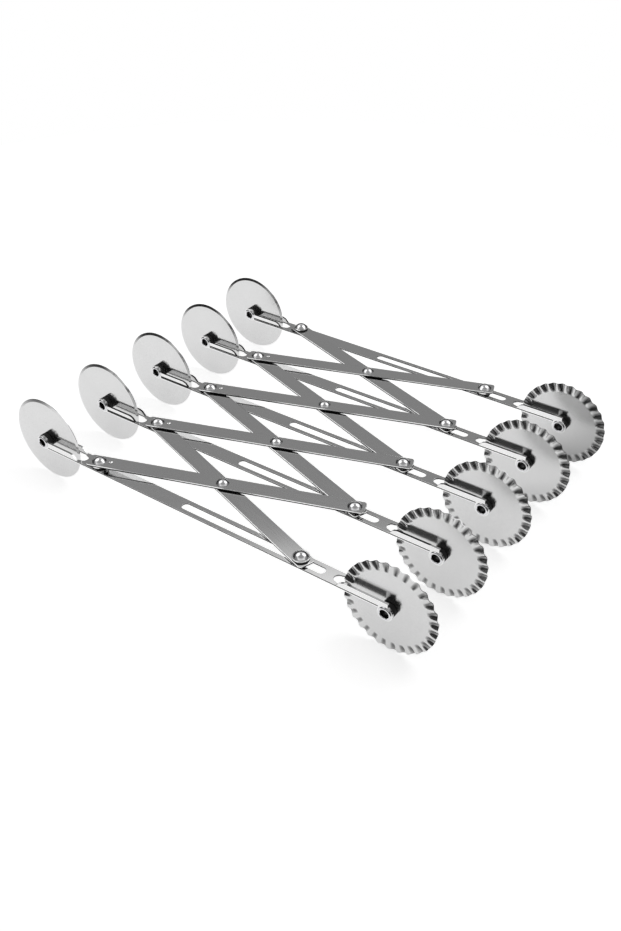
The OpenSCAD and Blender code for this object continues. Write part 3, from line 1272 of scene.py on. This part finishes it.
@dataclass
class Fasteners:
    """Domed rivets, sliding pins, washers and spacer rings.

    A head or tail is given as (diameter, height).
    """

    lattice: Lattice
    strip: float = 1.2
    gap: float = 0.4
    seat: float = 0.02
    head: Span = (8.0, 2.2)
    tail: Span = (7.4, 1.2)
    centre_head: Span = (7.2, 2.0)
    centre_tail: Span = (5.8, 0.8)
    centre_shank: float = 4.0
    dome_points: int = 9
    dome_rim: float = 0.12
    dome_tuck: float = 0.06
    washer: float = 8.4
    spacer: float = 9.0
    play: float = 0.05
    ring_round: float = 0.16
    left: Pivot = Pivot("rivet", 4.4, "left_rivet", "left_washers")
    pin: Pivot = Pivot("pin", 4.8, "slide_pin", "slide_washers")
    rivet_steel: BrightSteel = BrightSteel("rivet_steel", 0.07, 0.88)
    washer_steel: BrightSteel = BrightSteel("washer_steel", 0.16, 0.78)
    painted_shadow_edge: BrightSteel = BrightSteel("washer_painted_shadow", 0.36, 0.04)

    @property
    def lower(self) -> float:
        """Height of the lower links' underside."""
        return self.strip + self.gap

    @property
    def top(self) -> float:
        """Height of the top links' underside."""
        return self.lower + self.strip + self.gap

    @property
    def stack(self) -> float:
        """Height of the top links' upper face."""
        return self.top + self.strip

    def dome(self, diameter: float, height: float) -> list[tuple[float, float]]:
        """Profile of a domed head, from its top to its seat.

        Args:
            diameter: The head's diameter.
            height: The head's height.

        Returns:
            Points as (radius, height above the seat).
        """
        radius, last = diameter / 2, self.dome_points - 1
        ball = (radius ** 2 + height ** 2) / (2 * height)
        turns = [math.asin(radius / ball) * step / last for step in range(last)]
        crown = [(ball * math.sin(turn), height - ball + ball * math.cos(turn)) for turn in turns]
        return crown + [(radius, self.dome_rim), (radius - self.dome_tuck, 0.0)]

    def rivet(self, shank: float, low: float, head: Span, tail: Span) -> Mesh:
        """A rivet from a face of the stack to its top.

        Args:
            shank: Diameter of its shank.
            low: Height of the face that its tail seats on.
            head: Diameter and height of its head.
            tail: Diameter and height of its tail.

        Returns:
            The shape.
        """
        high, low = self.stack + self.seat, low - self.seat
        top = [(spread, high + rise) for spread, rise in self.dome(*head)]
        foot = [(spread, low - rise) for spread, rise in reversed(self.dome(*tail))]
        neck = [(shank / 2, high), (shank / 2, low)]
        return spun(top + neck + foot, closed=False)

    def ring(self, outer: float, shank: float, low: float, high: float) -> Mesh:
        """A washer or spacer with rounded rims and painted shadow on the lower half of its rim.

        Args:
            outer: Its diameter.
            shank: Diameter of the shank through it.
            low: Height of the face under it.
            high: Height of the face over it.

        Returns:
            The shape.
        """
        bore, rim = shank / 2 + self.play, outer / 2
        low, high = low + self.seat, high - self.seat
        middle, soft = (low + high) / 2, min(self.ring_round, (high - low) / 3)
        profile = [
            (bore, low), (rim - soft, low), (rim, low + soft), (rim, middle),
            (rim, high - soft), (rim - soft, high), (bore, high),
        ]
        shape = spun(profile, closed=True)
        # Painted shadow: the lower half of the rim is near black
        give_coat(shape, Coat.DARK, Zone(radius=(rim - soft, INF), height=(-INF, middle)))
        return shape

    def rings(self, shank: float, has_lower: bool, has_top: bool) -> Mesh:
        """The rings round one pivot, which fill the levels where no link lies.

        Args:
            shank: Diameter of the shank through them.
            has_lower: Whether a lower link turns here.
            has_top: Whether a top link turns here.

        Returns:
            The shape.
        """
        first = self.washer if has_lower else self.spacer
        made = [self.ring(first, shank, self.strip, self.lower if has_lower else self.top)]
        if has_lower:
            second = self.washer if has_top else self.spacer
            high = self.top if has_top else self.stack
            made.append(self.ring(second, shank, self.lower + self.strip, high))
        return joined(made)

    def build(self) -> None:
        """Make the fasteners of every pivot."""
        bars = self.lattice.bars
        for bar in range(1, bars + 1):
            before, after = bar > 1, bar < bars
            carrier = f"lower_{bar}" if after else f"top_{bar - 1}"
            pivots = (
                (self.left, self.lattice.left(bar), f"bar_{bar}", before, after),
                (self.pin, self.lattice.right(bar), carrier, after, before),
            )
            for pivot, place, body, has_lower, has_top in pivots:
                make_piece(
                    self.rivet(pivot.shank, 0.0, self.head, self.tail),
                    f"domed_{pivot.name}_{bar}", place, body, [self.rivet_steel],
                    f"{pivot.rivet_node}_{bar}",
                )
                make_piece(
                    self.rings(pivot.shank, has_lower, has_top),
                    f"{pivot.name}_rings_{bar}", place, body, [self.washer_steel, self.painted_shadow_edge],
                    f"{pivot.rings_node}_{bar}",
                )
        head, shank, rest = self.centre_head, self.centre_shank, self.lower + self.strip
        for link in range(1, bars):
            rivet = self.rivet(shank, self.lower, head, self.centre_tail)
            washer = self.ring(head[0], shank, rest, self.top)
            make_piece(
                joined([rivet, washer]), f"cross_rivet_{link}",
                self.lattice.centre(link), f"lower_{link}", [self.rivet_steel, self.painted_shadow_edge],
                f"centre_rivet_{link}",
            )


def main() -> None:
    """Build the studio and every sub-assembly in order."""
    logging.basicConfig(level=logging.INFO, format="%(name)s: %(message)s")
    studio = Studio()
    studio.place_camera()
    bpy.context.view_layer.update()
    studio.set_up()
    lattice = Lattice({joint["name"]: joint for joint in frame["joints"]})
    for assembly in (Strips(lattice), CuttingWheels(lattice), Hubs(lattice), Fasteners(lattice)):
        LOG.info("building %s", type(assembly).__name__)
        assembly.build()


if __name__ == "__main__":
    main()
